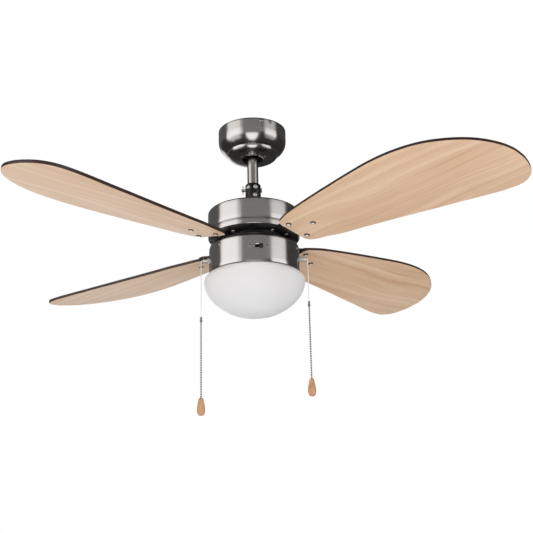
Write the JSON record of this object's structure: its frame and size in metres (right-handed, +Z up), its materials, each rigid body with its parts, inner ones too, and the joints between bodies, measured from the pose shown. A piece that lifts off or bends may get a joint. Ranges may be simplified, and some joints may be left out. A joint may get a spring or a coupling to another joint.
{
  "type": "ceiling fan with light",
  "caption": "Ceiling fan with wooden blades on a short downrod, brushed nickel housings, an opal glass bowl light and two pull cords with wooden knobs.",
  "frame": {"origin": "centre of the hanger bracket's upper face, in the ceiling plane, on the fan's axis", "axes": "+Z up into the ceiling along the downrod; -Y is the side with the reverse switch; the two pull cords hang at -X and +X"},
  "size_m": [0.844, 0.8435, 0.528],
  "materials": {
    "brushed_nickel": "brushed nickel plate, satin, horizontal brush lines",
    "black_enamel": "black semi-gloss enamel",
    "zinc_plate": "zinc-plated steel, plain",
    "screw_nickel": "bright nickel-plated screws",
    "cast_aluminium": "die-cast aluminium, matt",
    "electrical_steel": "stacked silicon-steel laminations",
    "copper_winding": "enamelled copper wire",
    "bearing_steel": "ground bearing steel",
    "white_plastic": "white moulded nylon",
    "black_plastic": "black moulded plastic",
    "white_enamel": "white enamel reflector",
    "porcelain": "white glazed porcelain",
    "opal_glass": "satin opal glass, diffusing, light off",
    "bulb_opal": "white-coated bulb glass",
    "maple_veneer": "light maple-look veneer below, dark edge band and dark top",
    "knob_wood": "turned beech, satin varnish",
    "white_string": "white braided nylon string",
    "bead_nickel": "nickel-plated ball chain"
  },
  "bodies": {
    "ceiling_mount": {"hanger_bracket": "zinc_plate", "canopy": "brushed_nickel", "canopy_screws": "screw_nickel", "terminal_block": "white_plastic"},
    "ball_pin": {"hanger_pin": "zinc_plate"},
    "hanging_frame": {"hanger_ball": "black_plastic", "downrod": "brushed_nickel", "coupling": "black_enamel", "coupling_screws": "screw_nickel", "clevis_pin": "zinc_plate", "hairpin_clip": "zinc_plate", "motor_housing": "brushed_nickel", "housing_screws_m4": "screw_nickel", "motor_shaft": "zinc_plate", "stator_core": "electrical_steel", "stator_windings": "copper_winding", "bearing_inner_races": "bearing_steel", "switch_plate": "black_enamel", "shaft_nut": "zinc_plate", "switch_housing": "brushed_nickel", "housing_screws_m3": "screw_nickel", "speed_switch": "white_plastic", "light_switch": "white_plastic", "capacitor": "black_plastic", "reverse_switch": "black_plastic", "standoffs": "zinc_plate", "lamp_pan": "white_enamel", "lamp_holder": "porcelain", "bulb_base": "screw_nickel", "bulb_glass": "bulb_opal", "cord_outlets": "screw_nickel"},
    "rotor": {"rotor_upper_shell": "cast_aluminium", "rotor_lower_shell": "black_enamel", "rotor_ring": "cast_aluminium", "bearing_outer_races": "bearing_steel", "bearing_balls": "bearing_steel", "blade_arm_1": "black_enamel", "blade_arm_2": "black_enamel", "blade_arm_3": "black_enamel", "blade_arm_4": "black_enamel", "arm_screws": "screw_nickel", "blade_1": "maple_veneer", "blade_2": "maple_veneer", "blade_3": "maple_veneer", "blade_4": "maple_veneer", "blade_screws": "screw_nickel"},
    "fan_pull": {"fan_string": "white_string", "fan_connector": "bead_nickel", "fan_chain": "bead_nickel", "fan_knob": "knob_wood"},
    "light_pull": {"light_string": "white_string", "light_connector": "bead_nickel", "light_chain": "bead_nickel", "light_knob": "knob_wood"},
    "speed_selector": {"speed_drum": "white_plastic"},
    "light_selector": {"light_drum": "white_plastic"},
    "reverse_knob": {"reverse_slider": "black_plastic"},
    "bowl": {"glass_shade": "opal_glass"}
  },
  "joints": [
    {"name": "swing_side", "type": "hinge", "parent": "ceiling_mount", "child": "ball_pin", "pos_m": [0, 0, -0.03], "axis": [1, 0, 0], "range_deg": [-12, 12]},
    {"name": "swing_front", "type": "hinge", "parent": "ball_pin", "child": "hanging_frame", "pos_m": [0, 0, -0.03], "axis": [0, 1, 0], "range_deg": [-12, 12]},
    {"name": "fan_spin", "type": "hinge", "parent": "hanging_frame", "child": "rotor", "pos_m": [0, 0, -0.2], "axis": [0, 0, 1], "continuous": true},
    {"name": "fan_cord_pull", "type": "slide", "parent": "hanging_frame", "child": "fan_pull", "axis": [0, 0, -1], "range_m": [0, 0.012], "stiffness_N_per_m": 700, "deforming": ["fan_string"]},
    {"name": "light_cord_pull", "type": "slide", "parent": "hanging_frame", "child": "light_pull", "axis": [0, 0, -1], "range_m": [0, 0.012], "stiffness_N_per_m": 700, "deforming": ["light_string"]},
    {"name": "speed_drum_turn", "type": "hinge", "parent": "hanging_frame", "child": "speed_selector", "pos_m": [0.057, -0.0076, -0.251], "axis": [0, 0, 1], "range_deg": [0, 91]},
    {"name": "light_drum_turn", "type": "hinge", "parent": "hanging_frame", "child": "light_selector", "pos_m": [-0.057, 0.0076, -0.251], "axis": [0, 0, 1], "range_deg": [0, 91]},
    {"name": "reverse_slide", "type": "slide", "parent": "hanging_frame", "child": "reverse_knob", "axis": [-0.9949, -0.1011, 0], "range_m": [0, 0.006]},
    {"name": "bowl_twist", "type": "hinge", "parent": "hanging_frame", "child": "bowl", "pos_m": [0, 0, -0.28], "axis": [0, 0, 1], "range_deg": [0, 24]}
  ],
  "couplings": [
    {"joint": "speed_drum_turn", "follows": "fan_cord_pull", "rad_per_m": 130.9},
    {"joint": "light_drum_turn", "follows": "light_cord_pull", "rad_per_m": 130.9}
  ]
}
